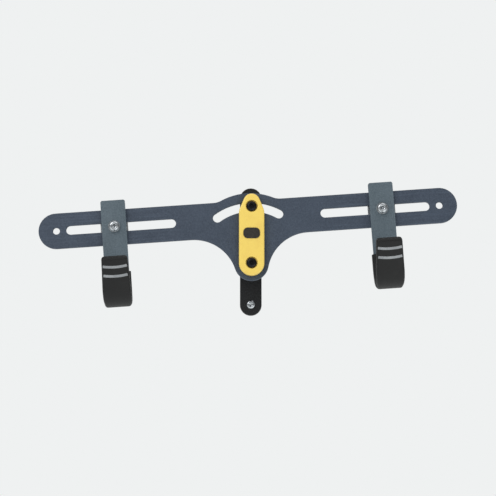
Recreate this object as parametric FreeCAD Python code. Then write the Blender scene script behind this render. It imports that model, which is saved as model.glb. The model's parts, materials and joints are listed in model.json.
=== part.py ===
import FreeCAD, Part

import os
from math import asin, cos, pi, radians, sin, sqrt

# Bicycle wall rack that holds a bicycle by its top tube.
# A flat strip is screwed to the wall. Two posts stand out of it and carry a slotted bar, which
# tilts about the lower post to suit a sloping top tube. A screw at the upper post runs in the
# bar's curved slot and clamps the tilt through a cover plate. Two hook hangers with rubber
# sleeves slide along the bar's straight slots.
#
# Row frame, millimetres: +X right, +Z up, +Y into the wall. The origin is on the wall, midway
# between the two wall screws. "out" is the distance from the wall, which is -Y.
# The bar and what rides on it are drawn in the bar's own frame, x along the bar and z across
# it with the pivot at 0, 0, and then tilted and lifted to the pivot.

# ---------- driving dimensions ----------

# wall strip and its screws
STRIP_WIDTH = 22.4
STRIP_THICK = 4.0
UPPER_SCREW_RISE = 17.3
LOWER_SCREW_DROP = 35.8
WALL_SCREW_R = 2.5
WALL_SCREW_DEPTH = 46.0
WALL_SCREW_POINT = 8.0
WALL_SCREW_NECK_R = 1.9
WALL_SCREW_CLEARANCE = 0.25
WALL_HEAD_R = 4.4
WALL_HEAD_HEIGHT = 3.0
WALL_HEAD_DOME = 1.8
CROSS_WIDTH = 1.2
CROSS_SPAN = 5.0
CROSS_DEPTH = 1.8

# posts
CLAMP_RADIUS = 58.5
POST_R = 9.0
POST_LENGTH = 42.0
POST_EDGE = 0.8
POST_SCREW_BITE = 12.0
CSK_HEAD_R = 5.6
CSK_LAND = 1.2

# six millimetre screws, all of them
M6_R = 2.95
THREAD_GAP = 0.05
M6_CLEARANCE = 0.35
M6_HEAD_R = 5.25
M6_HEAD_HEIGHT = 3.3
M6_HEAD_DOME = 2.4
HEX_ACROSS_FLATS = 4.0
HEX_DEPTH = 2.1
TAP_RUNOUT = 3.0
FRONT_SCREW_BITE = 11.0

# pivot and clamp stack
SPIGOT_R = 5.0
SPIGOT_RUN_FIT = 0.05
BUSH_WALL = 2.0
FLANGE_R = 12.0
WASHER_THICK = 1.5
CLAMP_WASHER_R = 9.0
FACE_GAP = 0.05

# tilting bar
BAR_TILT = 4.06
BAR_HOLE_SPAN = 392.0
BAR_WIDTH = 36.5
BAR_THICK = 4.0
BAR_EDGE = 0.6
END_HOLE_R = 3.5
SLOT_WIDTH = 9.2
SLOT_START = 74.0
END_WEB = 6.5
ARC_SLOT_HALF_ANGLE = 32.5
ARC_CROWN_RISE = 11.5
ARCH_MARGIN = 14.5
ARCH_DROP = 11.0
ARCH_BLEND_R = 18.0
HUB_R = 17.5
HUB_BLEND_R = 44.0

# cover plate and its plain label
COVER_WIDTH = 25.9
COVER_THICK = 5.0
COVER_EDGE = 1.5
COVER_TOP_R = 8.5
COVER_TAPER = 11.5
COUNTERBORE_GAP = 0.95
COUNTERBORE_DEPTH = 2.4
LABEL_WIDTH = 17.0
LABEL_HEIGHT = 11.0
LABEL_CORNER_R = 4.5
LABEL_THICK = 0.5
LABEL_DROP = 28.0

# hangers and rubber sleeves
HANGER_FROM_SLOT_END = 49.0
HANGER_WIDTH = 25.0
HANGER_THICK = 4.0
HANGER_ABOVE_BAR = 9.0
HANGER_CORNER_R = 2.0
HOOK_DROP = 85.0
HOOK_BEND_R = 17.0
LIP_HEIGHT = 44.0
LIP_LEAN = 26.0
SLEEVE_WALL = 3.0
SLEEVE_SIDE = 1.7
SLEEVE_REAR_DROP = 6.0
SLEEVE_EDGE = 2.2

# slide nuts and the hanger screws' washers
KEY_LENGTH = 20.0
KEY_SIDE_GAP = 0.3
KEY_END_GAP = 0.5
NUT_LENGTH = 28.0
NUT_WIDTH = 18.0
NUT_THICK = 5.0
NUT_CORNER_R = 2.5
FLAT_WASHER_R = 6.0
FLAT_WASHER_THICK = 1.6
SCREW_TAIL = 3.0

# ---------- levels worked out from the driving dimensions ----------

WALL_SCREW_SPACING = LOWER_SCREW_DROP + CLAMP_RADIUS + UPPER_SCREW_RISE
PIVOT_Z = LOWER_SCREW_DROP - WALL_SCREW_SPACING / 2
CLAMP_Z = PIVOT_Z + CLAMP_RADIUS
STRIP_FRONT = STRIP_THICK
POST_FRONT = STRIP_FRONT + POST_LENGTH
BAR_BACK = POST_FRONT + WASHER_THICK + FACE_GAP
BAR_FRONT = BAR_BACK + BAR_THICK
COVER_BACK = BAR_FRONT + FACE_GAP + WASHER_THICK
COVER_FRONT = COVER_BACK + COVER_THICK
COVER_SEAT = COVER_FRONT - COUNTERBORE_DEPTH
HANGER_BACK = BAR_FRONT + FACE_GAP
HANGER_FRONT = HANGER_BACK + HANGER_THICK
NUT_FRONT = BAR_BACK - FACE_GAP
NUT_BACK = NUT_FRONT - NUT_THICK

M6_TAPPED_R = M6_R + THREAD_GAP
M6_HOLE_R = M6_R + M6_CLEARANCE
COUNTERBORE_R = M6_HEAD_R + COUNTERBORE_GAP
BUSH_BORE_R = SPIGOT_R + SPIGOT_RUN_FIT
BUSH_R = BUSH_BORE_R + BUSH_WALL
ARCH_R = CLAMP_RADIUS + ARCH_MARGIN - ARCH_DROP
BAR_RISE = CLAMP_RADIUS - ARC_CROWN_RISE
BAR_TOP = BAR_RISE + BAR_WIDTH / 2
BAR_LOW = BAR_RISE - BAR_WIDTH / 2
HANGER_TOP = BAR_TOP + HANGER_ABOVE_BAR
SLOT_END = BAR_HOLE_SPAN / 2 - END_HOLE_R - END_WEB
HANGER_AT = SLOT_END - HANGER_FROM_SLOT_END

HOOK_BOTTOM = BAR_RISE - HOOK_DROP
LIP_TOP = HOOK_BOTTOM + LIP_HEIGHT
SLEEVE_REAR_TOP = LIP_TOP - SLEEVE_REAR_DROP
HOOK_CENTRE_OUT = HANGER_FRONT + HOOK_BEND_R
HOOK_CENTRE_Z = HOOK_BOTTOM + SLEEVE_WALL + HANGER_THICK + HOOK_BEND_R
SLEEVE_OUTER_R = HOOK_BEND_R + HANGER_THICK + SLEEVE_WALL
SLEEVE_INNER_R = HOOK_BEND_R - SLEEVE_WALL
LIP_DROP = SLEEVE_OUTER_R * sin(radians(LIP_LEAN))
SLEEVE_LIP_LENGTH = (LIP_TOP - HOOK_CENTRE_Z + LIP_DROP) / cos(radians(LIP_LEAN))
STEEL_LIP_LENGTH = SLEEVE_LIP_LENGTH - SLEEVE_WALL

SIDES = {"left": -1, "right": 1}
OUTWARD = FreeCAD.Vector(0, -1, 0)
TOUCHING = 1e-6


# ---------- helpers ----------

def point(x, out, z):
    return FreeCAD.Vector(x, -out, z)


def disc(radius, start, end, x=0.0, z=0.0):
    """Cylinder along the wall's normal, from one distance out to another."""
    return Part.makeCylinder(radius, end - start, point(x, start, z), OUTWARD)


def cone(start_r, end_r, start, end, x=0.0, z=0.0):
    """Cone along the wall's normal, with its radius at each end."""
    return Part.makeCone(start_r, end_r, end - start, point(x, start, z), OUTWARD)


def ring(outer_r, inner_r, start, end, x=0.0, z=0.0):
    return disc(outer_r, start, end, x, z).cut(disc(inner_r, start, end, x, z))


def line(a, b):
    return Part.makeLine(a, b)


def arc(a, middle, b):
    return Part.Arc(a, middle, b).toShape()


def slab(edges, thick):
    """Plate from a closed outline drawn parallel to the wall, growing outwards."""
    return Part.Face(Part.Wire(Part.__sortEdges__(edges))).extrude(OUTWARD * thick)


def stadium(x0, z0, x1, z1, radius, start, thick):
    """Straight-sided plate or slot with full-round ends centred on two points."""
    length = sqrt((x1 - x0) ** 2 + (z1 - z0) ** 2)
    ux = (x1 - x0) / length * radius
    uz = (z1 - z0) / length * radius
    near_left = point(x0 - uz, start, z0 + ux)
    near_right = point(x0 + uz, start, z0 - ux)
    far_left = point(x1 - uz, start, z1 + ux)
    far_right = point(x1 + uz, start, z1 - ux)
    edges = [
        line(near_left, far_left),
        arc(far_left, point(x1 + ux, start, z1 + uz), far_right),
        line(far_right, near_right),
        arc(near_right, point(x0 - ux, start, z0 - uz), near_left),
    ]
    return slab(edges, thick)


def rounded_block(width, height, corner_r, start, thick, x=0.0, z=0.0):
    block = Part.makeBox(width, thick, height, point(x - width / 2, start + thick, z - height / 2))
    corners = [e for e in block.Edges if e.BoundBox.YLength > thick / 2]
    return block.makeFillet(corner_r, corners)


def flat_edges(shape):
    """Edges that lie in a plane parallel to the wall."""
    return [e for e in shape.Edges if e.BoundBox.YLength < TOUCHING]


def front_edges(shape, front):
    """Edges that lie in the plane at this distance from the wall."""
    return [e for e in flat_edges(shape) if abs(e.BoundBox.YMin + front) < TOUCHING]


def soften(shape, radius):
    return shape.makeFillet(radius, flat_edges(shape))


def hexagon_prism(across_flats, start, end, x, z):
    corner_r = across_flats / 2 / cos(pi / 6)
    turns = [k * pi / 3 for k in range(7)]
    corners = [point(x + corner_r * cos(turn), start, z + corner_r * sin(turn)) for turn in turns]
    edges = [line(a, b) for a, b in zip(corners, corners[1:])]
    return slab(edges, end - start)


def button_screw(seat, length, x, z):
    """Domed six millimetre screw with a hexagon socket; its head sits on the seat level."""
    top = seat + M6_HEAD_HEIGHT
    head = disc(M6_HEAD_R, seat, top, x, z)
    head = head.makeFillet(M6_HEAD_DOME, front_edges(head, top))
    socket = hexagon_prism(HEX_ACROSS_FLATS, top - HEX_DEPTH, top + HEX_DEPTH, x, z)
    shank = disc(M6_R, seat - length, seat, x, z)
    return head.fuse(shank).cut(socket).removeSplitter()


def on_bar(shape):
    """Move a shape from the bar's own frame to its tilted place on the wall."""
    placed = shape.copy()
    placed.rotate(FreeCAD.Vector(0, 0, 0), FreeCAD.Vector(0, 1, 0), -BAR_TILT)
    placed.translate(FreeCAD.Vector(0, 0, PIVOT_Z))
    return placed


# ---------- pieces fixed to the wall ----------

def wall_strip():
    half = WALL_SCREW_SPACING / 2
    strip = stadium(0, -half, 0, half, STRIP_WIDTH / 2, 0, STRIP_THICK)
    strip = soften(strip, BAR_EDGE)
    for z in (-half, half):
        strip = strip.cut(disc(WALL_SCREW_R + WALL_SCREW_CLEARANCE, 0, STRIP_THICK, 0, z))
    for z in (PIVOT_Z, CLAMP_Z):
        strip = strip.cut(disc(M6_HOLE_R, 0, STRIP_THICK, 0, z))
        strip = strip.cut(countersink(z))
    return strip


def countersink(z):
    return cone(CSK_HEAD_R, M6_HOLE_R, 0, STRIP_THICK - CSK_LAND, 0, z)


def wall_screws():
    half = WALL_SCREW_SPACING / 2
    return [wall_screw(z) for z in (-half, half)]


def wall_screw(z):
    """Pan-head wood screw: a plain neck through the strip, then the thread inside the wall."""
    front = STRIP_FRONT + WALL_HEAD_HEIGHT
    point_start = WALL_SCREW_POINT - WALL_SCREW_DEPTH
    head = disc(WALL_HEAD_R, STRIP_FRONT, front, 0, z)
    head = head.makeFillet(WALL_HEAD_DOME, front_edges(head, front))
    neck = disc(WALL_SCREW_NECK_R, 0, STRIP_FRONT, 0, z)
    thread = disc(WALL_SCREW_R, point_start, 0, 0, z)
    tip = cone(0, WALL_SCREW_R, -WALL_SCREW_DEPTH, point_start, 0, z)
    screw = head.fuse([neck, thread, tip])
    for width, height in ((CROSS_SPAN, CROSS_WIDTH), (CROSS_WIDTH, CROSS_SPAN)):
        corner = point(-width / 2, front, z - height / 2)
        screw = screw.cut(Part.makeBox(width, CROSS_DEPTH, height, corner))
    return screw.removeSplitter()


def post_screws():
    return [post_screw(z) for z in (PIVOT_Z, CLAMP_Z)]


def post_screw(z):
    """Countersunk screw, flush with the back of the strip, that holds a post."""
    depth = STRIP_THICK - CSK_LAND
    slope = (CSK_HEAD_R - M6_HOLE_R) / depth
    head = cone(CSK_HEAD_R, M6_R, 0, (CSK_HEAD_R - M6_R) / slope, 0, z)
    shank = disc(M6_R, 0, STRIP_FRONT + POST_SCREW_BITE, 0, z)
    socket = hexagon_prism(HEX_ACROSS_FLATS, 0, HEX_DEPTH, 0, z)
    return head.fuse(shank).cut(socket).removeSplitter()


def post_blank(z):
    """Turned post with its two tapped holes still to come."""
    post = disc(POST_R, STRIP_FRONT, POST_FRONT, 0, z)
    return post.makeChamfer(POST_EDGE, flat_edges(post))


def tapped_from_back(z):
    return disc(M6_TAPPED_R, STRIP_FRONT, STRIP_FRONT + POST_SCREW_BITE + TAP_RUNOUT, 0, z)


def tapped_from_front(front, z):
    return disc(M6_TAPPED_R, front - FRONT_SCREW_BITE - TAP_RUNOUT, front, 0, z)


def pivot_post():
    spigot = disc(SPIGOT_R, POST_FRONT, COVER_BACK, 0, PIVOT_Z)
    holes = [tapped_from_back(PIVOT_Z), tapped_from_front(COVER_BACK, PIVOT_Z)]
    return post_blank(PIVOT_Z).fuse(spigot).cut(holes).removeSplitter()


def clamp_post():
    holes = [tapped_from_back(CLAMP_Z), tapped_from_front(POST_FRONT, CLAMP_Z)]
    return post_blank(CLAMP_Z).cut(holes)


def cover_outline():
    """Full-round below, straight sides, then a taper to a smaller round above the clamp screw."""
    wide_r = COVER_WIDTH / 2
    top_z = CLAMP_Z + wide_r - COVER_TOP_R
    shoulder_z = top_z - COVER_TAPER
    rise = (wide_r - COVER_TOP_R) / COVER_TAPER
    reach = sqrt(1 - rise ** 2)
    out = COVER_BACK
    edges = [
        arc(point(-wide_r, out, PIVOT_Z), point(0, out, PIVOT_Z - wide_r), point(wide_r, out, PIVOT_Z)),
        arc(point(-COVER_TOP_R * reach, out, top_z + COVER_TOP_R * rise), point(0, out, top_z + COVER_TOP_R),
            point(COVER_TOP_R * reach, out, top_z + COVER_TOP_R * rise)),
    ]
    half_turn = asin(rise) / 2
    for side in (-1, 1):
        hip = point(side * wide_r, out, shoulder_z)
        swell = point(side * wide_r * cos(half_turn), out, shoulder_z + wide_r * sin(half_turn))
        shoulder = point(side * wide_r * reach, out, shoulder_z + wide_r * rise)
        edges += [
            line(point(side * wide_r, out, PIVOT_Z), hip),
            arc(hip, swell, shoulder),
            line(shoulder, point(side * COVER_TOP_R * reach, out, top_z + COVER_TOP_R * rise)),
        ]
    return edges


def cover_plate():
    plate = slab(cover_outline(), COVER_THICK)
    plate = plate.makeFillet(COVER_EDGE, front_edges(plate, COVER_FRONT))
    for z in (PIVOT_Z, CLAMP_Z):
        plate = plate.cut(disc(M6_HOLE_R, COVER_BACK, COVER_FRONT, 0, z))
        plate = plate.cut(disc(COUNTERBORE_R, COVER_SEAT, COVER_FRONT, 0, z))
    return plate


def cover_label():
    centre = CLAMP_Z - LABEL_DROP
    return rounded_block(LABEL_WIDTH, LABEL_HEIGHT, LABEL_CORNER_R, COVER_FRONT, LABEL_THICK, 0, centre)


def pivot_screw():
    length = COVER_SEAT - COVER_BACK + FRONT_SCREW_BITE
    return button_screw(COVER_SEAT, length, 0, PIVOT_Z)


def clamp_screw():
    seat = COVER_SEAT + FACE_GAP
    length = seat - POST_FRONT + FRONT_SCREW_BITE
    return button_screw(seat, length, 0, CLAMP_Z)


def pivot_washer():
    """Friction washer on the spigot, between the bar and the cover plate."""
    return ring(FLANGE_R, SPIGOT_R + SPIGOT_RUN_FIT, COVER_BACK - WASHER_THICK, COVER_BACK, 0, PIVOT_Z)


def clamp_washers():
    """Friction washers behind and in front of the bar at the curved slot."""
    levels = (POST_FRONT, COVER_BACK - WASHER_THICK)
    return [ring(CLAMP_WASHER_R, M6_HOLE_R, s, s + WASHER_THICK, 0, CLAMP_Z) for s in levels]


# ---------- tilting bar ----------

def bar_outline():
    """Outline of the bar: straight bar, arch above the curved slot, round hub below."""
    half = BAR_HOLE_SPAN / 2
    end_r = BAR_WIDTH / 2
    out = BAR_BACK
    # concave blends: centres lie one blend radius off the straight edge and off the circle
    arch_bz = BAR_TOP + ARCH_BLEND_R
    arch_bx = sqrt((ARCH_R + ARCH_BLEND_R) ** 2 - (arch_bz - ARCH_DROP) ** 2)
    arch_x = arch_bx * ARCH_R / (ARCH_R + ARCH_BLEND_R)
    arch_z = ARCH_DROP + (arch_bz - ARCH_DROP) * ARCH_R / (ARCH_R + ARCH_BLEND_R)
    hub_bz = BAR_LOW - HUB_BLEND_R
    hub_bx = sqrt((HUB_R + HUB_BLEND_R) ** 2 - hub_bz ** 2)
    hub_x = hub_bx * HUB_R / (HUB_R + HUB_BLEND_R)
    hub_z = hub_bz * HUB_R / (HUB_R + HUB_BLEND_R)
    edges = [
        arc(point(-arch_x, out, arch_z), point(0, out, ARCH_DROP + ARCH_R), point(arch_x, out, arch_z)),
        arc(point(-hub_x, out, hub_z), point(0, out, -HUB_R), point(hub_x, out, hub_z)),
    ]
    for side in (-1, 1):
        arch_mid = blend_middle(arch_bx, arch_bz, ARCH_BLEND_R, 0, -1, arch_x - arch_bx, arch_z - arch_bz)
        hub_mid = blend_middle(hub_bx, hub_bz, HUB_BLEND_R, 0, 1, hub_x - hub_bx, hub_z - hub_bz)
        edges += [
            arc(point(side * arch_x, out, arch_z), point(side * arch_mid[0], out, arch_mid[1]),
                point(side * arch_bx, out, BAR_TOP)),
            line(point(side * arch_bx, out, BAR_TOP), point(side * half, out, BAR_TOP)),
            arc(point(side * half, out, BAR_TOP), point(side * (half + end_r), out, BAR_RISE),
                point(side * half, out, BAR_LOW)),
            line(point(side * half, out, BAR_LOW), point(side * hub_bx, out, BAR_LOW)),
            arc(point(side * hub_bx, out, BAR_LOW), point(side * hub_mid[0], out, hub_mid[1]),
                point(side * hub_x, out, hub_z)),
        ]
    return edges


def blend_middle(cx, cz, radius, ax, az, bx, bz):
    """Point halfway round a blend, between the directions a and b from its centre."""
    a = FreeCAD.Vector(ax, 0, az).normalize()
    b = FreeCAD.Vector(bx, 0, bz).normalize()
    middle = (a + b).normalize()
    return cx + radius * middle.x, cz + radius * middle.z


def arc_slot():
    """Curved slot about the pivot, as a cutter right through the bar."""
    half_w = SLOT_WIDTH / 2
    angle = radians(ARC_SLOT_HALF_ANGLE)
    inner_r = CLAMP_RADIUS - half_w
    outer_r = CLAMP_RADIUS + half_w
    out = BAR_BACK
    edges = [
        arc(point(-inner_r * sin(angle), out, inner_r * cos(angle)), point(0, out, inner_r),
            point(inner_r * sin(angle), out, inner_r * cos(angle))),
        arc(point(-outer_r * sin(angle), out, outer_r * cos(angle)), point(0, out, outer_r),
            point(outer_r * sin(angle), out, outer_r * cos(angle))),
    ]
    for side in (-1, 1):
        cap_x = CLAMP_RADIUS * sin(angle) + half_w * cos(angle)
        cap_z = CLAMP_RADIUS * cos(angle) - half_w * sin(angle)
        edges.append(arc(point(side * inner_r * sin(angle), out, inner_r * cos(angle)),
                         point(side * cap_x, out, cap_z),
                         point(side * outer_r * sin(angle), out, outer_r * cos(angle))))
    return slab(edges, BAR_THICK)


def tilt_bar():
    bar = slab(bar_outline(), BAR_THICK)
    cuts = [arc_slot()]
    for side in (-1, 1):
        near = side * (SLOT_START + SLOT_WIDTH / 2)
        far = side * (SLOT_END - SLOT_WIDTH / 2)
        cuts.append(stadium(near, BAR_RISE, far, BAR_RISE, SLOT_WIDTH / 2, BAR_BACK, BAR_THICK))
        cuts.append(disc(END_HOLE_R, BAR_BACK, BAR_FRONT, side * BAR_HOLE_SPAN / 2, BAR_RISE))
    bar = soften(bar.cut(cuts), BAR_EDGE)
    return on_bar(bar.cut(disc(BUSH_R, BAR_BACK, BAR_FRONT)))


def pivot_bush():
    """Flanged bush pressed into the hub from behind; it runs on the pivot post's spigot."""
    flange = disc(FLANGE_R, BAR_BACK - WASHER_THICK, BAR_BACK)
    sleeve = disc(BUSH_R, BAR_BACK - WASHER_THICK, BAR_FRONT)
    bore = disc(BUSH_BORE_R, BAR_BACK - WASHER_THICK, BAR_FRONT)
    return on_bar(flange.fuse(sleeve).cut(bore).removeSplitter())


# ---------- hangers ----------

def hook_profile(inner_r, outer_r, rear_top, lip_length, across, x):
    """J-shaped body between two radii about the hook's bend, standing up at both ends."""
    lean = radians(LIP_LEAN)
    cy = HOOK_CENTRE_OUT
    cz = HOOK_CENTRE_Z
    left = x - across / 2

    def rear(radius, z):
        return point(left, cy - radius, z)

    def bottom(radius):
        return point(left, cy, cz - radius)

    def lip(radius, length):
        out = cy + radius * cos(lean) + length * sin(lean)
        return point(left, out, cz - radius * sin(lean) + length * cos(lean))

    edges = [
        line(rear(outer_r, rear_top), rear(outer_r, cz)),
        arc(rear(outer_r, cz), bottom(outer_r), lip(outer_r, 0)),
        line(lip(outer_r, 0), lip(outer_r, lip_length)),
        line(lip(outer_r, lip_length), lip(inner_r, lip_length)),
        line(lip(inner_r, lip_length), lip(inner_r, 0)),
        arc(lip(inner_r, 0), bottom(inner_r), rear(inner_r, cz)),
        line(rear(inner_r, cz), rear(inner_r, rear_top)),
        line(rear(inner_r, rear_top), rear(outer_r, rear_top)),
    ]
    return Part.Face(Part.Wire(edges)).extrude(FreeCAD.Vector(across, 0, 0))


def steel_hook(x):
    outer_r = HOOK_BEND_R + HANGER_THICK
    return hook_profile(HOOK_BEND_R, outer_r, HANGER_TOP, STEEL_LIP_LENGTH, HANGER_WIDTH, x)


def hanger(side):
    """Flat steel hanger: a strip across the bar's front, bent forward and up into a hook."""
    x = side * HANGER_AT
    hook = steel_hook(x)
    ends = [e for e in hook.Edges if e.BoundBox.XLength < TOUCHING]
    corners = [e for e in ends if e.BoundBox.ZMin > HANGER_TOP - TOUCHING]
    hook = hook.makeFillet(HANGER_CORNER_R, corners)
    hole = disc(M6_HOLE_R, HANGER_BACK, HANGER_FRONT, x, BAR_RISE)
    return on_bar(hook.cut(hole))


def hook_sleeve(side):
    """Rubber sleeve over the hook, closed over the lip's end and open behind."""
    x = side * HANGER_AT
    across = HANGER_WIDTH + 2 * SLEEVE_SIDE
    sleeve = hook_profile(SLEEVE_INNER_R, SLEEVE_OUTER_R, SLEEVE_REAR_TOP, SLEEVE_LIP_LENGTH, across, x)
    long_edges = [e for e in sleeve.Edges if e.BoundBox.XLength < TOUCHING]
    sleeve = sleeve.makeFillet(SLEEVE_EDGE, long_edges)
    return on_bar(sleeve.cut(steel_hook(x)))


def slide_nut(side):
    """Plate nut behind the bar; its key runs in the slot and keeps it from turning."""
    x = side * HANGER_AT
    plate = rounded_block(NUT_LENGTH, NUT_WIDTH, NUT_CORNER_R, NUT_BACK, NUT_THICK, x, BAR_RISE)
    key_r = SLOT_WIDTH / 2 - KEY_SIDE_GAP
    reach = KEY_LENGTH / 2 - key_r
    key_height = BAR_THICK + FACE_GAP - KEY_END_GAP
    key = stadium(x - reach, BAR_RISE, x + reach, BAR_RISE, key_r, NUT_FRONT, key_height)
    hole = disc(M6_TAPPED_R, NUT_BACK, NUT_FRONT + key_height, x, BAR_RISE)
    return on_bar(plate.fuse(key).cut(hole).removeSplitter())


def hanger_washer(side):
    front = HANGER_FRONT + FLAT_WASHER_THICK
    return on_bar(ring(FLAT_WASHER_R, M6_HOLE_R, HANGER_FRONT, front, side * HANGER_AT, BAR_RISE))


def hanger_screw(side):
    seat = HANGER_FRONT + FLAT_WASHER_THICK + FACE_GAP
    length = seat - NUT_BACK + SCREW_TAIL
    return on_bar(button_screw(seat, length, side * HANGER_AT, BAR_RISE))


# ---------- all nodes ----------

def all_nodes():
    nodes = {
        "wall_strip": [wall_strip()],
        "wall_screws": wall_screws(),
        "post_screws": post_screws(),
        "pivot_post": [pivot_post()],
        "clamp_post": [clamp_post()],
        "cover_plate": [cover_plate()],
        "cover_label": [cover_label()],
        "pivot_screw": [pivot_screw()],
        "pivot_washer": [pivot_washer()],
        "clamp_washers": clamp_washers(),
        "clamp_screw": [clamp_screw()],
        "tilt_bar": [tilt_bar()],
        "pivot_bush": [pivot_bush()],
    }
    for name, side in SIDES.items():
        nodes["hanger_" + name] = [hanger(side)]
        nodes["hook_sleeve_" + name] = [hook_sleeve(side)]
        nodes["slide_nut_" + name] = [slide_nut(side)]
        nodes["hanger_washer_" + name] = [hanger_washer(side)]
        nodes["hanger_screw_" + name] = [hanger_screw(side)]
    return nodes


os.makedirs("parts", exist_ok=True)
for node, solids in all_nodes().items():
    shape = solids[0] if len(solids) == 1 else Part.makeCompound(solids)
    shape.exportStep("parts/" + node + ".step")
    box = shape.BoundBox
    print("%-20s solids %d valid %s volume %9.1f  x %7.2f %7.2f  y %7.2f %7.2f  z %7.2f %7.2f" % (
        node, len(shape.Solids), shape.isValid(), shape.Volume,
        box.XMin, box.XMax, box.YMin, box.YMax, box.ZMin, box.ZMax))
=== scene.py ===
# %% [markdown]
# # A bicycle wall rack
# The rack is a strip that is screwed to the wall, a slotted bar that tilts in front of it, a
# cover plate that clamps the tilt, and two hooks in rubber sleeves that slide along the bar.
# The metal pieces arrive finished in shape. This lesson dresses them in paint and plating and
# models what a drawing leaves plain: the moulded rubber sleeves and the screw threads.

import json
import math

import bmesh
import bpy
from mathutils import Matrix, Vector

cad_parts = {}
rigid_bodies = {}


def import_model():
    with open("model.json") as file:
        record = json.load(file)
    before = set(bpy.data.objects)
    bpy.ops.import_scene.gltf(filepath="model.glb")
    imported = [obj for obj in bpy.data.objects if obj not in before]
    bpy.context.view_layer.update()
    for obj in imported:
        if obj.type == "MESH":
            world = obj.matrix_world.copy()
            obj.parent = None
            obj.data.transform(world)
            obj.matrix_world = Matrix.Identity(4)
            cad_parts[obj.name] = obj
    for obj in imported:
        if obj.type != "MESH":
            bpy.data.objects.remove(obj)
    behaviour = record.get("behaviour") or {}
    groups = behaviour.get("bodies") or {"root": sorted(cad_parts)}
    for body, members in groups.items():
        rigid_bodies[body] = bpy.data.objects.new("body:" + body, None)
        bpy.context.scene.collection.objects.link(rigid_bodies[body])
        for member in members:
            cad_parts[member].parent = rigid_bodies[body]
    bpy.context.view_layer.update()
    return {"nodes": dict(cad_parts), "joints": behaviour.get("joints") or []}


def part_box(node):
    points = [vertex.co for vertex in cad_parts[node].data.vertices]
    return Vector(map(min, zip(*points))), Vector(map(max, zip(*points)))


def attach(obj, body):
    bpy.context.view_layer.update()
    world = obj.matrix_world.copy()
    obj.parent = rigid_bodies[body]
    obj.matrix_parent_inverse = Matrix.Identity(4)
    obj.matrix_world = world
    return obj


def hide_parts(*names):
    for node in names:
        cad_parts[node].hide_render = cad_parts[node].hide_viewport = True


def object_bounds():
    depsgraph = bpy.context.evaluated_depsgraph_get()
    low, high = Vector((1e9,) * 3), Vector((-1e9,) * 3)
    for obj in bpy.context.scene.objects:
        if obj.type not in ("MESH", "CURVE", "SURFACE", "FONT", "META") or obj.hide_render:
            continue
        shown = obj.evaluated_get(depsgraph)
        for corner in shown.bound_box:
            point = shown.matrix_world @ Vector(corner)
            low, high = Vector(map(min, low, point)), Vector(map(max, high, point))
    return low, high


for leftover in list(bpy.data.objects):
    bpy.data.objects.remove(leftover)
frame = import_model()
nodes = frame["nodes"]

# %% [markdown]
# ## One frame for everything
# Blender works in metres, a maker thinks in millimetres. The wall is the plane y = 0 and the
# rack stands off it towards -y. The bar is tilted, so its hooks and wear marks are easier to
# draw in the bar's own frame: x along the bar, z across it, with the pivot at the origin. The
# model's joints say where the pivot is and which way the hooks slide, so the tilt comes from
# there and always agrees with the metal.

# %% Millimetres and the bar's own frame
def mm(value):
    return value / 1000.0


def per_metre(size_mm):
    """Texture scale for a pattern whose grains are this many millimetres apart."""
    return 1000.0 / size_mm


joints = {joint["name"]: joint for joint in frame["joints"]}
pivot = Vector(joints["bar_tilt"]["pos_m"])
along_bar = Vector(joints["hanger_right_slide"]["axis"])
bar_tilt = math.atan2(along_bar.z, along_bar.x)
bar_to_row = Matrix.Translation((0, 0, pivot.z)) @ Matrix.Rotation(-bar_tilt, 4, "Y")
print("pivot height mm", round(pivot.z * 1000, 2), "tilt deg", round(math.degrees(bar_tilt), 2))

# %% [markdown]
# ## Two helpers for finishes
# Paint charts give colours as sRGB hex values, but a shader adds up light, so it needs linear
# numbers. One function turns one into the other. A second small function adds a node with its
# settings and its links, so that each finish below reads like a recipe.

# %% Colour and node helpers
def paint(hex_colour):
    """sRGB hex to the linear colour that a shader adds up."""
    channels = [int(hex_colour[i:i + 2], 16) / 255 for i in (1, 3, 5)]
    linear = [c / 12.92 if c <= 0.04045 else ((c + 0.055) / 1.055) ** 2.4 for c in channels]
    return (*linear, 1.0)


def add_node(tree, kind, inputs=None, **settings):
    """Adds one shader node; inputs maps a socket to a value or to another node's output."""
    made = tree.nodes.new(kind)
    for name, value in settings.items():
        setattr(made, name, value)
    for socket, value in (inputs or {}).items():
        if isinstance(value, bpy.types.NodeSocket):
            tree.links.new(value, made.inputs[socket])
        else:
            made.inputs[socket].default_value = value
    return made


def start_finish(name):
    """An empty material with one Principled surface, ready for its recipe."""
    finish = bpy.data.materials.new(name)
    finish.use_nodes = True
    tree = finish.node_tree
    tree.nodes.clear()
    surface = add_node(tree, "ShaderNodeBsdfPrincipled")
    add_node(tree, "ShaderNodeOutputMaterial", {"Surface": surface.outputs["BSDF"]})
    place = add_node(tree, "ShaderNodeTexCoord").outputs["Object"]
    return finish, tree, surface, place


# %% [markdown]
# ## Powder coat
# The bar, the hangers and the wall strip are steel with a baked powder coat. The powder melts
# into a skin with a fine pebbled grain, about half a millimetre across. That is too fine to
# show at arm's length, so it is drawn a little over a millimetre wide. A slow cloud changes
# the colour by a few percent, as dust and handling do, and edges are a touch lighter because
# the powder draws back from them while it melts. A painted picture could hold all this, but it
# would need an unwrapped surface and would blur close up; noise in the piece's own coordinates
# stays sharp, and a Bevel node finds the edges by itself.

# %% Sizes of the powder's patterns
handling_mm = 38.0
soft_edge_mm = 0.9
streak_mm = 2.2
track_starts_mm, track_full_mm = 64.0, 92.0
print("handling clouds", handling_mm, "mm, worn edges", soft_edge_mm, "mm")

# %% [markdown]
# ## Streaks where the hangers slide
# The hangers slide to and fro along the bar and leave faint polished streaks beside its
# straight slots. They could be drawn one by one, but a noise that is stretched twenty times
# along the bar gives many of them at once. They follow the bar, so a Mapping node first turns
# the pattern's coordinates by the bar's tilt.

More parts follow.
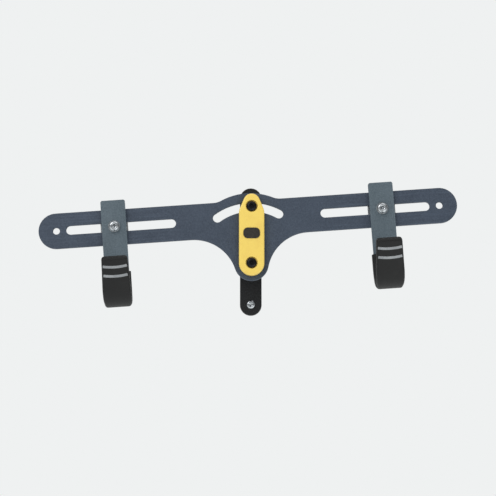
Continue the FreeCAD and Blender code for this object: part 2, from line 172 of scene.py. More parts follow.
# %% Streak pattern
def slide_marks(tree, place):
    """Streaks along the bar, strongest on the tracks where the hangers slide."""
    turned = add_node(tree, "ShaderNodeMapping", {"Vector": place, "Rotation": (0, bar_tilt, 0)})
    in_bar = turned.outputs["Vector"]
    split = add_node(tree, "ShaderNodeSeparateXYZ", {"Vector": in_bar})
    drawn_out = add_node(tree, "ShaderNodeMapping", {"Vector": in_bar, "Scale": (0.05, 1.0, 1.0)})
    streak = add_node(tree, "ShaderNodeTexNoise",
                      {"Vector": drawn_out.outputs["Vector"], "Scale": per_metre(streak_mm),
                       "Detail": 3.0})
    thin = add_node(tree, "ShaderNodeMapRange",
                    {"Value": streak.outputs["Fac"], "From Min": 0.5, "From Max": 0.7})
    aside = add_node(tree, "ShaderNodeMath", {0: split.outputs["X"]}, operation="ABSOLUTE")
    on_track = add_node(tree, "ShaderNodeMapRange",
                        {"Value": aside.outputs[0], "From Min": mm(track_starts_mm),
                         "From Max": mm(track_full_mm)})
    return add_node(tree, "ShaderNodeMath",
                    {0: thin.outputs["Result"], 1: on_track.outputs["Result"]},
                    operation="MULTIPLY").outputs[0]


# %% Powder coat recipe
def powder_coat(name, base, worn, grain_mm, grain_depth_mm, roughness, marked=False):
    """Baked powder: pebbled, a little cloudy, paler at its edges."""
    finish, tree, surface, place = start_finish(name)
    surface.inputs["IOR"].default_value = 1.5
    grain = add_node(tree, "ShaderNodeTexNoise",
                     {"Vector": place, "Scale": per_metre(grain_mm), "Detail": 2.0,
                      "Roughness": 0.6})
    cloud = add_node(tree, "ShaderNodeTexNoise",
                     {"Vector": place, "Scale": per_metre(handling_mm), "Detail": 4.0,
                      "Roughness": 0.62})
    rounded = add_node(tree, "ShaderNodeBevel", {"Radius": mm(soft_edge_mm)},
                       samples=6).outputs["Normal"]
    normal = add_node(tree, "ShaderNodeNewGeometry").outputs["Normal"]
    agree = add_node(tree, "ShaderNodeVectorMath", {0: rounded, 1: normal},
                     operation="DOT_PRODUCT")
    edge = add_node(tree, "ShaderNodeMapRange",
                    {"Value": agree.outputs["Value"], "From Min": 0.99,
                     "From Max": 0.86}).outputs["Result"]
    broken = add_node(tree, "ShaderNodeMapRange",
                      {"Value": cloud.outputs["Fac"], "From Min": 0.42,
                       "From Max": 0.62}).outputs["Result"]
    chipped = add_node(tree, "ShaderNodeMath", {0: edge, 1: broken},
                       operation="MULTIPLY").outputs[0]
    speck = add_node(tree, "ShaderNodeMapRange",
                     {"Value": grain.outputs["Fac"], "From Min": 0.35, "From Max": 0.7,
                      "To Min": 0.0, "To Max": 0.28}).outputs["Result"]
    faded = add_node(tree, "ShaderNodeMapRange",
                     {"Value": cloud.outputs["Fac"], "From Min": 0.35, "From Max": 0.75,
                      "To Min": 0.0, "To Max": 0.22}).outputs["Result"]
    grained = add_node(tree, "ShaderNodeMix", {0: speck, 6: base, 7: worn},
                       data_type="RGBA").outputs[2]
    clouded = add_node(tree, "ShaderNodeMix", {0: faded, 6: grained, 7: worn},
                       data_type="RGBA").outputs[2]
    rubbed = add_node(tree, "ShaderNodeMath", {0: chipped, 1: 0.55},
                      operation="MULTIPLY").outputs[0]
    colour = add_node(tree, "ShaderNodeMix", {0: rubbed, 6: clouded, 7: worn},
                      data_type="RGBA").outputs[2]
    gloss = add_node(tree, "ShaderNodeMapRange",
                     {"Value": cloud.outputs["Fac"], "From Min": 0.3, "From Max": 0.7,
                      "To Min": roughness + 0.06, "To Max": roughness - 0.06}).outputs["Result"]
    if marked:
        marks = slide_marks(tree, place)
        faint = add_node(tree, "ShaderNodeMath", {0: marks, 1: 0.3},
                         operation="MULTIPLY").outputs[0]
        colour = add_node(tree, "ShaderNodeMix", {0: faint, 6: colour, 7: worn},
                          data_type="RGBA").outputs[2]
        shine = add_node(tree, "ShaderNodeMath", {0: marks, 1: 0.14},
                         operation="MULTIPLY").outputs[0]
        gloss = add_node(tree, "ShaderNodeMath", {0: gloss, 1: shine},
                         operation="SUBTRACT").outputs[0]
    pebble = add_node(tree, "ShaderNodeBump",
                      {"Height": grain.outputs["Fac"], "Strength": 0.7,
                       "Distance": mm(grain_depth_mm)})
    tree.links.new(colour, surface.inputs["Base Color"])
    tree.links.new(gloss, surface.inputs["Roughness"])
    tree.links.new(pebble.outputs["Normal"], surface.inputs["Normal"])
    return finish


# %% The three powder coats
bar_coat = powder_coat("powder_coat_blue_grey", paint("#2C3747"), paint("#566272"), 1.3, 0.35, 0.52,
                       marked=True)
hanger_coat = powder_coat("powder_coat_light_grey", paint("#46545D"), paint("#76828B"), 1.3, 0.35,
                          0.5)
strip_coat = powder_coat("powder_coat_black", paint("#07080A"), paint("#222428"), 1.4, 0.3, 0.42)
print("powder coats:", bar_coat.name, hanger_coat.name, strip_coat.name)

# %% [markdown]
# ## Yellow enamel powder on the cover plate
# The cover plate has a smoother, glossier powder. It flows out into a gentle orange peel,
# bumps two to three millimetres wide and very shallow, which bends reflections a little. Years
# of fingers leave it mustard in slow patches. The powder coat above could be used with other
# numbers, but this skin has a clear layer that the others lack, so it gets a recipe of its own.

# %% Yellow cover recipe
peel_mm, finger_mm = 2.6, 16.0


def yellow_cover_coat(name):
    finish, tree, surface, place = start_finish(name)
    surface.inputs["IOR"].default_value = 1.5
    surface.inputs["Coat Weight"].default_value = 0.35
    surface.inputs["Coat Roughness"].default_value = 0.12
    peel = add_node(tree, "ShaderNodeTexNoise",
                    {"Vector": place, "Scale": per_metre(peel_mm), "Detail": 1.0, "Roughness": 0.4})
    cloud = add_node(tree, "ShaderNodeTexNoise",
                     {"Vector": place, "Scale": per_metre(finger_mm), "Detail": 5.0,
                      "Roughness": 0.65})
    grime = add_node(tree, "ShaderNodeMapRange",
                     {"Value": cloud.outputs["Fac"], "From Min": 0.48, "From Max": 0.78,
                      "To Min": 0.0, "To Max": 0.4}).outputs["Result"]
    colour = add_node(tree, "ShaderNodeMix",
                      {0: grime, 6: paint("#EFCF64"), 7: paint("#D4AB48")},
                      data_type="RGBA").outputs[2]
    gloss = add_node(tree, "ShaderNodeMapRange",
                     {"Value": cloud.outputs["Fac"], "From Min": 0.3, "From Max": 0.7,
                      "To Min": 0.3, "To Max": 0.46}).outputs["Result"]
    ripple = add_node(tree, "ShaderNodeBump",
                      {"Height": peel.outputs["Fac"], "Strength": 0.5, "Distance": mm(0.25)})
    tree.links.new(colour, surface.inputs["Base Color"])
    tree.links.new(gloss, surface.inputs["Roughness"])
    tree.links.new(ripple.outputs["Normal"], surface.inputs["Normal"])
    return finish


cover_coat = yellow_cover_coat("powder_coat_yellow")
print("cover finish:", cover_coat.name)

# %% [markdown]
# ## Bare and plated metal
# Screws, washers and nuts are zinc plated: a bright skin with a soft crystalline bloom and
# fine turning rings. The posts and the cover plate's screws are black oxide, a thin dark
# skin that still reflects like metal. The pivot bush is sintered bronze, pressed from powder,
# so it is full of small dark pores that hold oil. All three are metals, so they keep the
# default IOR and take their look from colour and roughness, and one recipe makes them all. The
# bloom of zinc is under a millimetre wide, too fine to show, so it is drawn twice as wide.

# %% Metal recipe
def metal_skin(name, base, stain, bloom_mm, ring_mm, roughness, pores=0.0):
    finish, tree, surface, place = start_finish(name)
    surface.inputs["Metallic"].default_value = 1.0
    bloom = add_node(tree, "ShaderNodeTexNoise",
                     {"Vector": place, "Scale": per_metre(bloom_mm), "Detail": 4.0,
                      "Roughness": 0.6})
    rings = add_node(tree, "ShaderNodeTexWave",
                     {"Vector": place, "Scale": per_metre(ring_mm) / (2 * math.pi),
                      "Distortion": 0.6, "Detail": 1.0}, wave_type="BANDS", bands_direction="Y")
    pitted = add_node(tree, "ShaderNodeTexVoronoi",
                      {"Vector": place, "Scale": per_metre(bloom_mm * 0.5)}).outputs["Distance"]
    pore = add_node(tree, "ShaderNodeMapRange",
                    {"Value": pitted, "From Min": 0.28, "From Max": 0.12,
                     "To Min": 0.0, "To Max": pores}).outputs["Result"]
    cloudy = add_node(tree, "ShaderNodeMapRange",
                      {"Value": bloom.outputs["Fac"], "From Min": 0.35, "From Max": 0.7,
                       "To Min": 0.0, "To Max": 0.6}).outputs["Result"]
    marked = add_node(tree, "ShaderNodeMath", {0: cloudy, 1: pore},
                      operation="MAXIMUM").outputs[0]
    colour = add_node(tree, "ShaderNodeMix", {0: marked, 6: base, 7: stain},
                      data_type="RGBA").outputs[2]
    gloss = add_node(tree, "ShaderNodeMapRange",
                     {"Value": bloom.outputs["Fac"], "From Min": 0.3, "From Max": 0.7,
                      "To Min": roughness - 0.07, "To Max": roughness + 0.09}).outputs["Result"]
    height = add_node(tree, "ShaderNodeMath",
                      {0: rings.outputs["Fac"], 1: bloom.outputs["Fac"]}, operation="ADD").outputs[0]
    turned = add_node(tree, "ShaderNodeBump",
                      {"Height": height, "Strength": 0.35, "Distance": mm(0.05)})
    tree.links.new(colour, surface.inputs["Base Color"])
    tree.links.new(gloss, surface.inputs["Roughness"])
    tree.links.new(turned.outputs["Normal"], surface.inputs["Normal"])
    return finish


zinc = metal_skin("zinc_plated_steel", paint("#C9CDD0"), paint("#A9AFB5"), 1.6, 0.8, 0.27)
black_oxide = metal_skin("black_oxide_steel", paint("#2A2B2E"), paint("#3C3A39"), 2.2, 0.9, 0.36)
bronze = metal_skin("sintered_bronze", paint("#9A7A4A"), paint("#5A452A"), 1.2, 1.2, 0.45,
                    pores=0.8)
print("metals:", zinc.name, black_oxide.name, bronze.name)

# %% [markdown]
# ## Nylon washers and the plain label
# The friction washers are moulded black nylon: waxy, half matt, with a faint flow pattern.
# The label is a plain dark film under the clamp screw, with no lettering. Both are plastics,
# IOR about 1.53, and differ mostly in how rough they are. A flat colour would do for washers
# that hardly show, but a slow noise with a little distortion is what cooling plastic looks like.

# %% Plastic recipe
def plain_plastic(name, base, pale, flow_mm, roughness, ior):
    finish, tree, surface, place = start_finish(name)
    surface.inputs["IOR"].default_value = ior
    flow = add_node(tree, "ShaderNodeTexNoise",
                    {"Vector": place, "Scale": per_metre(flow_mm), "Detail": 3.0,
                     "Distortion": 0.8})
    amount = add_node(tree, "ShaderNodeMapRange",
                      {"Value": flow.outputs["Fac"], "From Min": 0.4, "From Max": 0.75,
                       "To Min": 0.0, "To Max": 0.5}).outputs["Result"]
    colour = add_node(tree, "ShaderNodeMix", {0: amount, 6: base, 7: pale},
                      data_type="RGBA").outputs[2]
    gloss = add_node(tree, "ShaderNodeMapRange",
                     {"Value": flow.outputs["Fac"], "From Min": 0.3, "From Max": 0.7,
                      "To Min": roughness - 0.05, "To Max": roughness + 0.08}).outputs["Result"]
    soft = add_node(tree, "ShaderNodeBump",
                    {"Height": flow.outputs["Fac"], "Strength": 0.3, "Distance": mm(0.08)})
    tree.links.new(colour, surface.inputs["Base Color"])
    tree.links.new(gloss, surface.inputs["Roughness"])
    tree.links.new(soft.outputs["Normal"], surface.inputs["Normal"])
    return finish


nylon = plain_plastic("moulded_black_nylon", paint("#17181A"), paint("#2B2C2F"), 3.0, 0.48, 1.53)
label_film = plain_plastic("dark_label_film", paint("#26221C"), paint("#3A342B"), 2.0, 0.4, 1.53)
print("plastics:", nylon.name, label_film.name)

# %% [markdown]
# ## Moulded rubber
# The sleeves are soft black rubber from a spark-eroded mould, which leaves an even matt
# stipple. Rubber scatters light at a grazing angle, so a little sheen keeps its edges from
# going dead black. Dust sticks to it in pale patches. The raised bands are pale grey as a
# painted highlight on their crests, not a colour of the rubber. The stipple is about 0.3 mm
# wide, too fine to show, so it is drawn three times as wide. The same recipe makes both, one
# dark and one pale, so that a band looks like the sleeve it grows from.

# %% Rubber recipe
stipple_mm, dust_patch_mm = 0.9, 14.0


def moulded_rubber(name, base, dusty, dust, roughness):
    finish, tree, surface, place = start_finish(name)
    surface.inputs["IOR"].default_value = 1.52
    surface.inputs["Specular IOR Level"].default_value = 0.4
    surface.inputs["Sheen Weight"].default_value = 0.04
    surface.inputs["Sheen Roughness"].default_value = 0.5
    stipple = add_node(tree, "ShaderNodeTexNoise",
                       {"Vector": place, "Scale": per_metre(stipple_mm), "Detail": 2.0,
                        "Roughness": 0.7})
    patch = add_node(tree, "ShaderNodeTexNoise",
                     {"Vector": place, "Scale": per_metre(dust_patch_mm), "Detail": 6.0,
                      "Roughness": 0.7})
    dusted = add_node(tree, "ShaderNodeMapRange",
                      {"Value": patch.outputs["Fac"], "From Min": 0.46, "From Max": 0.74,
                       "To Min": 0.0, "To Max": dust}).outputs["Result"]
    colour = add_node(tree, "ShaderNodeMix", {0: dusted, 6: base, 7: dusty},
                      data_type="RGBA").outputs[2]
    gloss = add_node(tree, "ShaderNodeMapRange",
                     {"Value": patch.outputs["Fac"], "From Min": 0.3, "From Max": 0.7,
                      "To Min": roughness - 0.06, "To Max": roughness + 0.1}).outputs["Result"]
    matt = add_node(tree, "ShaderNodeBump",
                    {"Height": stipple.outputs["Fac"], "Strength": 0.6, "Distance": mm(0.18)})
    tree.links.new(colour, surface.inputs["Base Color"])
    tree.links.new(gloss, surface.inputs["Roughness"])
    tree.links.new(matt.outputs["Normal"], surface.inputs["Normal"])
    return finish


rubber = moulded_rubber("moulded_black_rubber", paint("#060607"), paint("#1E1E1F"), 0.6, 0.62)
# The bands' pale grey is a painted highlight: the light their crests catch, put into the colour.
band_highlight_rubber = moulded_rubber("band_painted_highlight_rubber", paint("#8B8E91"), paint("#B4B6B8"), 0.7, 0.7)
print("rubbers:", rubber.name, band_highlight_rubber.name)

# %% [markdown]
# ## Dress the metal pieces
# Each piece of the model keeps its shape and gets its finish in its material slots. The
# finishes could be set piece by piece, but a table reads like the parts list of the rack, and
# a piece that is left out shows at once in the count.

# %% Put the finishes on
finishes = {
    "wall_strip": strip_coat,
    "wall_screws": zinc,
    "post_screws": zinc,
    "pivot_post": black_oxide,
    "clamp_post": black_oxide,
    "cover_plate": cover_coat,
    "cover_label": label_film,
    "pivot_screw": black_oxide,
    "clamp_screw": black_oxide,
    "pivot_washer": nylon,
    "clamp_washers": nylon,
    "tilt_bar": bar_coat,
    "pivot_bush": bronze,
}
for side in ("left", "right"):
    finishes["hanger_" + side] = hanger_coat
    finishes["hook_sleeve_" + side] = rubber
    for piece in ("slide_nut_", "hanger_washer_", "hanger_screw_"):
        finishes[piece + side] = zinc

for name, finish in finishes.items():
    mesh = nodes[name].data
    mesh.materials.clear()
    mesh.materials.append(finish)
print("dressed", len(finishes), "pieces of", len(nodes))

# %% [markdown]
# ## A rubber sleeve
# The sleeve is a moulded sock: a rectangular tube with soft corners that follows the hook,
# open behind and closed over the lip's end. A swept curve could follow the hook too, but a
# spin turns about the true centre of the bend, so the wall keeps its thickness all the way
# round and the steel fits inside. All sizes are in millimetres, in the bar's frame, with the
# hook centred on x = 0.

# %% Sizes of the hook and its sleeve
hook_at = 137.0
steel_across = 25.0
steel_thick = 4.0
bend_r = 17.0
lip_lean = math.radians(26.0)
rubber_wall = 3.0
rubber_side = 1.7
rubber_corner = 3.0
hook_bottom = -38.0
lip_height = 44.0
rear_drop = 6.0
slack = 0.1

steel_back = -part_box("hanger_right")[1].y * 1000.0
bend_out = steel_back + steel_thick + bend_r
bend_z = hook_bottom + rubber_wall + steel_thick + bend_r
lip_top = hook_bottom + lip_height
outer_r = bend_r + steel_thick + rubber_wall
lip_length = (lip_top - bend_z + outer_r * math.sin(lip_lean)) / math.cos(lip_lean)
up_lip = Vector((0, -math.sin(lip_lean), math.cos(lip_lean)))
off_lip = Vector((0, -math.cos(lip_lean), -math.sin(lip_lean)))
bend_centre = Vector((0, -bend_out, bend_z))
lip_middle = bend_centre + off_lip * (bend_r + steel_thick / 2)
print("steel back", round(steel_back, 2), "lip length", round(lip_length, 1), "mm")


# %% [markdown]
# ## Pull, spin, pull
# The section is a flat ring: the rubber's rounded outline outside, the steel's rectangle
# inside. Both outlines start as a one-face grid with its corners bevelled to the same number
# of points, so the bridge between them is clean. The ring is pulled down the back, spun round
# the bend and pulled up the lip. Each step of the lip is a touch narrower, as the mould is,
# so that the sock slides on; near the bottom of the bend the corners draw in as well.

# %% The ring-shaped section and the steps that carry it
def outline(bm, half_x, half_y, corner, centre):
    """Edges of a rounded rectangle that lies flat, without its face."""
    corners = bmesh.ops.create_grid(bm, x_segments=1, y_segments=1, size=1.0)["verts"]
    bmesh.ops.scale(bm, verts=corners, vec=(half_x, half_y, 1))
    bmesh.ops.translate(bm, verts=corners, vec=centre)
    made = bmesh.ops.bevel(bm, geom=corners, offset=corner, offset_type="OFFSET", segments=4,
                           profile=0.5, affect="VERTICES", material=-1)
    edges = {edge for vert in made["verts"] for edge in vert.link_edges}
    flat = {f for edge in edges for f in edge.link_faces}
    bmesh.ops.delete(bm, geom=list(flat), context="FACES_ONLY")
    return list(edges)


def verts_of(faces):
    return list({vert for face in faces for vert in face.verts})


def middle_of(verts):
    total = Vector((0, 0, 0))
    for vert in verts:
        total += vert.co
    return total / len(verts)


def carry(bm, faces, move, widen=1.0, keep=False):
    """Extrudes a flat region, moves it by a matrix and scales its width; returns its faces.
    The faces it started from would be a wall inside the piece, so they go unless kept."""
    made = bmesh.ops.extrude_face_region(bm, geom=faces)["geom"]
    moved = [item for item in made if isinstance(item, bmesh.types.BMFace)]
    if not keep:
        bmesh.ops.delete(bm, geom=faces, context="FACES")
    bmesh.ops.transform(bm, matrix=move, verts=verts_of(moved))
    bmesh.ops.scale(bm, verts=verts_of(moved), vec=(widen, 1, 1))
    return moved


def turn_about(centre, axis, angle):
    """A rotation about a line that passes through a centre."""
    turn = Matrix.Rotation(angle, 4, axis)
    return Matrix.Translation(centre) @ turn @ Matrix.Translation(-centre)


# %% The hollow sock
def sock(bm, lip_steps=6, bend_steps=24, lip_taper=0.92, bend_taper=0.93):
    """The tube of the sleeve, down the back, round the bend and up the lip."""
    back_middle = Vector((0, -(steel_back + steel_thick / 2), lip_top - rear_drop))
    outside = outline(bm, steel_across / 2 + rubber_side, steel_thick / 2 + rubber_wall,
                      rubber_corner, back_middle)
    inside = outline(bm, steel_across / 2 + slack, steel_thick / 2 + slack, slack, back_middle)
    ring = bmesh.ops.bridge_loops(bm, edges=outside + inside)["faces"]
    down_back = bend_z - lip_top + rear_drop
    ring = carry(bm, ring, Matrix.Translation((0, 0, down_back)), keep=True)
    turn = math.pi - lip_lean
    width = 1.0
    for step in range(1, bend_steps + 1):
        below = math.cos(step / bend_steps * turn - math.pi / 2) ** 12
        wanted = 1 - (1 - bend_taper) * below
        ring = carry(bm, ring, turn_about(bend_centre, "X", -turn / bend_steps), wanted / width)
        width = wanted
    narrower = lip_taper ** (1 / lip_steps)
    up_step = Matrix.Translation(up_lip * (lip_length - rubber_wall) / lip_steps)
    for step in range(lip_steps):
        ring = carry(bm, ring, up_step, narrower)
    return ring


# %% [markdown]
# ## The nose and the raised bands
# The lip's end is closed in two layers: a face over the hollow, where the steel stops, and an
# outer skin that is pulled over it in small, shrinking steps, which gives a rounded nose. The
# front of the lip carries two raised bands that stop a frame tube from slipping. Each band is
# a small rounded section spun about a far point up the lip, so it comes out gently curved.

# %% Close the lip's end
def scale_in_lip(bm, verts, across, thick):
    """Scales a flat outline of the lip about its own middle, in its own tilted plane."""
    centre = middle_of(verts)
    shape = Matrix.Scale(across, 4, (1, 0, 0)) @ Matrix.Scale(thick, 4, off_lip)
    bmesh.ops.transform(bm, matrix=shape, space=Matrix.Translation(-centre), verts=verts)


def close_nose(bm, ring, steps=6):
    """Caps the hollow where the steel stops and rounds the outer skin over it."""
    open_edges = {edge for face in ring for edge in face.edges
                  if len([f for f in edge.link_faces if f in ring]) == 1}
    bmesh.ops.delete(bm, geom=ring, context="FACES")
    near_middle = middle_of([vert for edge in open_edges for vert in edge.verts])
    margin, mould_draft = 0.01, 0.94
    hollow_x = (steel_across / 2 + slack + margin) * mould_draft
    hollow_y = steel_thick / 2 + slack + margin
    inner = [edge for edge in open_edges
             if all(abs(vert.co.x) < hollow_x and
                    abs((vert.co - near_middle).dot(off_lip)) < hollow_y
                    for vert in edge.verts)]
    outer = [edge for edge in open_edges if edge not in inner]
    bmesh.ops.edgeloop_fill(bm, edges=inner)
    half_x = max(vert.co.x for edge in outer for vert in edge.verts)
    half_y = steel_thick / 2 + rubber_wall
    straight_rim = 0.4
    nose_r = rubber_wall - straight_rim
    gone_up, gone_in = 0.0, 0.0
    for step in range(steps + 1):
        angle = step / steps * math.pi / 2
        up = rubber_wall - nose_r + nose_r * math.sin(angle)
        inset = nose_r * (1 - math.cos(angle))
        made = bmesh.ops.extrude_edge_only(bm, edges=outer)["geom"]
        outer = [item for item in made if isinstance(item, bmesh.types.BMEdge)]
        rim = list({vert for edge in outer for vert in edge.verts})
        bmesh.ops.translate(bm, verts=rim, vec=up_lip * (up - gone_up))
        scale_in_lip(bm, rim, (half_x - inset) / (half_x - gone_in),
                     (half_y - inset) / (half_y - gone_in))
        gone_up, gone_in = up, inset
    bmesh.ops.edgeloop_fill(bm, edges=outer)


trial = bmesh.new()
close_nose(trial, sock(trial))
loose = [edge for edge in trial.edges if len(edge.link_faces) != 2]
print("faces", len(trial.faces), "open or doubled edges", len(loose),
      "top", round(max(vert.co.z for vert in trial.verts), 2))
trial.free()


# %% The raised bands
def band(bm, below_top, reach=12.0, tall=2.7, proud=0.7, sunk=1.2, curve_r=60.0):
    """A curved rib across the lip, this far below the lip's top."""
    tapered_off, edge_r = 0.3, 0.35
    base = lip_middle + up_lip * (lip_length - below_top)
    face_out = steel_thick / 2 + rubber_wall - tapered_off
    flat = bmesh.ops.create_grid(bm, x_segments=1, y_segments=1, size=1.0)["verts"]
    bmesh.ops.scale(bm, verts=flat, vec=((proud + sunk) / 2, tall / 2, 1))
    made = bmesh.ops.bevel(bm, geom=flat, offset=edge_r, offset_type="OFFSET", segments=3,
                           profile=0.5, affect="VERTICES", material=-1)
    verts = made["verts"]
    stand = Matrix((
        (0, 0, 1, 0),
        (off_lip.y, up_lip.y, 0, 0),
        (off_lip.z, up_lip.z, 0, 0),
        (0, 0, 0, 1)))
    place = Matrix.Translation(base + off_lip * (face_out + (proud - sunk) / 2))
    half_turn = math.asin(reach / curve_r)
    hub = base + up_lip * curve_r
    start = turn_about(hub, off_lip, half_turn)
    bmesh.ops.transform(bm, matrix=start @ place @ stand, verts=verts)
    section = list({face for vert in verts for face in vert.link_faces})
    bmesh.ops.spin(bm, geom=section, cent=hub, axis=off_lip, angle=-2 * half_turn,
                   steps=16, use_duplicate=False)


trial = bmesh.new()
band(trial, 9.5)
print("band x from", round(min(v.co.x for v in trial.verts), 2),
      "to", round(max(v.co.x for v in trial.verts), 2), "faces", len(trial.faces))
trial.free()


# %% [markdown]
# ## From bench to rack
# A finished bmesh becomes an object here: sizes go from millimetres to metres, the piece moves
# from the bar's frame to its place, its faces are shaded smooth except at real corners, it is
# told which body it rides on, and the drawn piece it stands for is hidden. A separate object
# could be placed by hand instead, but a place that is built into the mesh keeps patterns from
# sliding.

# %% Make a finished piece
def finished_piece(bm, name, place, materials, body, stands_for, corner_deg=34):
    """Turns a bmesh in millimetres into an object of the rack, and returns the object."""
    bmesh.ops.remove_doubles(bm, verts=bm.verts, dist=0.001)
    bmesh.ops.recalc_face_normals(bm, faces=bm.faces)
    bmesh.ops.transform(bm, matrix=place @ Matrix.Scale(0.001, 4), verts=bm.verts)
    mesh = bpy.data.meshes.new(name)
    bm.to_mesh(mesh)
    bm.free()
    for finish in materials:
        mesh.materials.append(finish)
    mesh.shade_smooth()
    mesh.set_sharp_from_angle(angle=math.radians(corner_deg))
    piece = bpy.data.objects.new(name, mesh)
    bpy.context.scene.collection.objects.link(piece)
    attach(piece, body)
    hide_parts(stands_for)
    print(name, "triangles", sum(len(face.vertices) - 2 for face in mesh.polygons))
    return piece


# %% Both sleeves
bands_below_top = (9.5, 19.0)


def sleeve(side, at):
    bm = bmesh.new()
    close_nose(bm, sock(bm))
    plain = set(bm.faces)
    for below_top in bands_below_top:
        band(bm, below_top)
    for face in bm.faces:
        # Band faces take the second finish, whose pale grey is a painted highlight.
        face.material_index = 0 if face in plain else 1
    place = bar_to_row @ Matrix.Translation((at / 1000.0, 0, 0))
    return finished_piece(bm, "rubber_sleeve_" + side, place, (rubber, band_highlight_rubber),
                          side + "_hanger", "hook_sleeve_" + side)


sleeve("left", -hook_at)
sleeve("right", hook_at)

# %% [markdown]
# ## Screw threads
# A drawing shows a thread as a plain cylinder, but the eye reads a screw by its spiral. A
# modifier could twist a profile, but a spin with a small step along its axis does it in one
# operator: a triangle turns round the core and climbs one pitch each turn. The wall screws
# have a coarse wood thread that runs out along a pointed tip, the hanger screws a fine M6
# thread that shows behind their nuts. The heads are kept from the drawn screws: a copy is
# merged and cut off where the thread starts.

# %% Spiral thread on a core
along_y = Matrix.Rotation(math.radians(-90), 4, "X")


def thread(bm, x, z, start, end, core_r, crest_r, pitch, steps=18, tip=0.0):
    """Thread round a line along y, from start to end, and out along a tip that narrows."""
    length = end - start
    core = bmesh.ops.create_cone(bm, cap_ends=True, segments=24, radius1=core_r, radius2=core_r,
                                 depth=length)["verts"]
    middle_in_wall = Matrix.Translation((x, (start + end) / 2, z))
    bmesh.ops.transform(bm, matrix=middle_in_wall @ along_y, verts=core)
    core_verts = set(bm.verts)
    sunk, foot, thread_on_tip = 0.1, 0.36, 0.8
    root, half = core_r - sunk, pitch * foot
    first = start + 1.1 * half
    ridge = bm.faces.new([bm.verts.new((x + root, first - half, z)),
                          bm.verts.new((x + crest_r, first, z)),
                          bm.verts.new((x + root, first + half, z))])
    turns = (length + thread_on_tip * tip - 2 * 1.1 * half) / pitch
    bmesh.ops.spin(bm, geom=[ridge], cent=(x, 0, z), axis=(0, 1, 0), angle=turns * 2 * math.pi,
                   dvec=(0, pitch / steps, 0), steps=round(turns * steps), use_duplicate=False)
    for vert in set(bm.verts) - core_verts:
        if vert.co.y > end:
            slim = 1.0 - (vert.co.y - end) / tip
            vert.co = (x + (vert.co.x - x) * slim, vert.co.y, z + (vert.co.z - z) * slim)


# %% Heads of the drawn screws
def drawn_head(bm, node, cut_at):
    """A merged copy of a drawn screw, kept on the room's side of a plane and closed there."""
    bm.from_mesh(nodes[node].data)
    bmesh.ops.transform(bm, matrix=Matrix.Scale(1000.0, 4), verts=bm.verts)
    bmesh.ops.remove_doubles(bm, verts=bm.verts, dist=0.001)
    everything = bm.verts[:] + bm.edges[:] + bm.faces[:]
    bmesh.ops.bisect_plane(bm, geom=everything, dist=0.0001, plane_co=(0, cut_at, 0),
                           plane_no=(0, 1, 0), clear_outer=True)
    rim = [edge for edge in bm.edges if edge.is_boundary]
    bmesh.ops.holes_fill(bm, edges=rim, sides=0)


# %% Wall screws and hanger screws
def wall_screws():
    core_r, crest_r, pitch = 1.75, 2.5, 2.2
    tip_length, shank_end, overlap, cut_at = 8.0, 38.0, 0.3, -0.1
    bm = bmesh.new()
    drawn_head(bm, "wall_screws", cut_at)
    low_z, high_z = (corner.z * 1000.0 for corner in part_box("wall_screws"))
    head_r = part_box("wall_screws")[1].x * 1000.0
    for z in (low_z + head_r, high_z - head_r):
        thread(bm, 0.0, z, -overlap, shank_end, core_r, crest_r, pitch, tip=tip_length)
        tip = bmesh.ops.create_cone(bm, cap_ends=True, segments=24, radius1=core_r - 0.05,
                                    radius2=0.05, depth=tip_length)["verts"]
        into_wall = Matrix.Translation((0, shank_end - overlap + tip_length / 2, z))
        bmesh.ops.transform(bm, matrix=into_wall @ along_y, verts=tip)
    return finished_piece(bm, "threaded_wall_screws", Matrix.Identity(4), (zinc,),
                          "wall_frame", "wall_screws")


def hanger_screw(side):
    core_r, crest_r, pitch = 2.5, 2.94, 1.0
    node = "hanger_screw_" + side
    axis_at = Vector(joints[node + "_turn"]["pos_m"]) * 1000.0
    nut_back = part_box("slide_nut_" + side)[1].y * 1000.0
    tail_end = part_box(node)[1].y * 1000.0
    bm = bmesh.new()
    drawn_head(bm, node, nut_back - 1.0)
    thread(bm, axis_at.x, axis_at.z, nut_back - 1.2, tail_end, core_r, crest_r, pitch)
    return finished_piece(bm, "threaded_hanger_screw_" + side, Matrix.Identity(4), (zinc,),
                          side + "_hanger_screw", node)


wall_screws()
hanger_screw("left")
hanger_screw("right")

# %% [markdown]
# ## Floor, light and camera
# The rack hangs in a bright room in front of nothing. The world shows a pale room and lights
# paint with three quarters of that, but its mirror image in the surfaces is kept to a third, so
# that black rubber stays black; a Light Path node tells the three apart. Large soft lights
# above and to the left give the metal a gentle fall of light, a low one keeps the underside
# readable and one behind lights the back. A pale floor far below closes the room, and glows a
# little, because the lamps hardly reach it.

# %% Lamps
def soft_light(name, place, size, power, aim):
    lamp = bpy.data.lights.new(name, "AREA")
    lamp.shape = "RECTANGLE"
    lamp.size, lamp.size_y = size
    lamp.energy = power
    light = bpy.data.objects.new(name, lamp)
    light.location = place
    light.rotation_mode = "QUATERNION"
    light.rotation_quaternion = (aim - Vector(place)).to_track_quat("-Z", "Y")
    bpy.context.scene.collection.objects.link(light)
    return light


low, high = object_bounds()
middle = (low + high) / 2
soft_light("window", (-1.1, -1.5, 1.2), (1.4, 1.2), 16, middle)
soft_light("ceiling", (0.5, -0.6, 1.9), (2.0, 1.4), 11, middle)
soft_light("bounce", (0.7, -1.3, -0.9), (1.4, 1.0), 4, middle)
soft_light("from_the_wall", (0.2, 1.6, 0.9), (1.4, 1.2), 8, middle)
print("lamps aimed at", [round(c, 3) for c in middle])

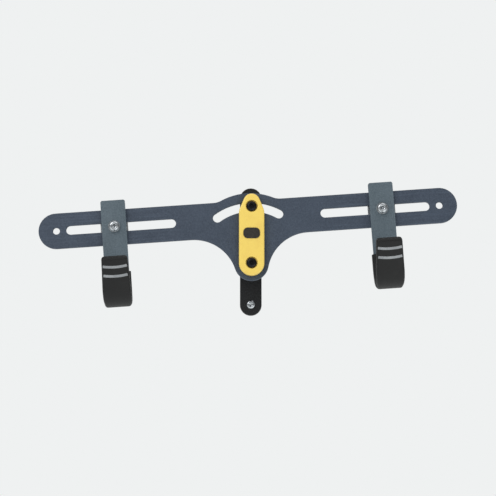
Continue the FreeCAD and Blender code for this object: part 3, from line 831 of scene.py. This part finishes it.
# %% The room
painted_share, mirrored_share = 0.74, 0.3
world = bpy.data.worlds.new("bright_room")
world.use_nodes = True
room_tree = world.node_tree
room_tree.nodes.clear()
path = add_node(room_tree, "ShaderNodeLightPath")
dimmed = add_node(room_tree, "ShaderNodeMapRange",
                  {"Value": path.outputs["Is Glossy Ray"], "To Min": painted_share,
                   "To Max": mirrored_share})
strength = add_node(room_tree, "ShaderNodeMapRange",
                    {"Value": path.outputs["Is Camera Ray"], "To Min": dimmed.outputs["Result"],
                     "To Max": 1.0})
room = add_node(room_tree, "ShaderNodeBackground",
                {"Color": paint("#EFF1F1"), "Strength": strength.outputs["Result"]})
add_node(room_tree, "ShaderNodeOutputWorld", {"Surface": room.outputs["Background"]})
scene = bpy.context.scene
scene.world = world
scene.view_settings.view_transform = "Standard"
print("room lights paint with", painted_share, "and shines with", mirrored_share)

# %% The floor
floor_reach, floor_drop = 30.0, 2.5
floor_mesh = bpy.data.meshes.new("floor")
floor_bm = bmesh.new()
bmesh.ops.create_grid(floor_bm, x_segments=1, y_segments=1, size=floor_reach)
bmesh.ops.translate(floor_bm, verts=floor_bm.verts, vec=(0, 0, -floor_drop))
floor_bm.to_mesh(floor_mesh)
floor_bm.free()
floor_finish, _, floor_surface, _ = start_finish("pale_floor")
floor_surface.inputs["Base Color"].default_value = paint("#F6F8F7")
floor_surface.inputs["Roughness"].default_value = 0.9
floor_surface.inputs["Emission Color"].default_value = paint("#EFF1F1")
floor_surface.inputs["Emission Strength"].default_value = 0.28
floor_mesh.materials.append(floor_finish)
floor = bpy.data.objects.new("floor", floor_mesh)
scene.collection.objects.link(floor)
print("floor", floor_drop, "m below the wall screws' middle")

# %% [markdown]
# ## Camera
# The camera stands two and a quarter metres away, a little lower than the rack and looking up
# at it. A short lens from close by would bend the bar in perspective, so it has a long one. It
# is turned by a quaternion that points its own -z axis at the middle of the rack.

# %% Camera
camera = bpy.data.objects.new("camera", bpy.data.cameras.new("camera"))
scene.collection.objects.link(camera)
scene.camera = camera
camera.location = (-0.0365, -2.24, -0.361)
camera.rotation_mode = "QUATERNION"
camera.rotation_quaternion = (middle - camera.location).to_track_quat("-Z", "Y")
camera.data.lens = 158
print("camera", round((middle - camera.location).length, 2), "m from the middle of the rack")
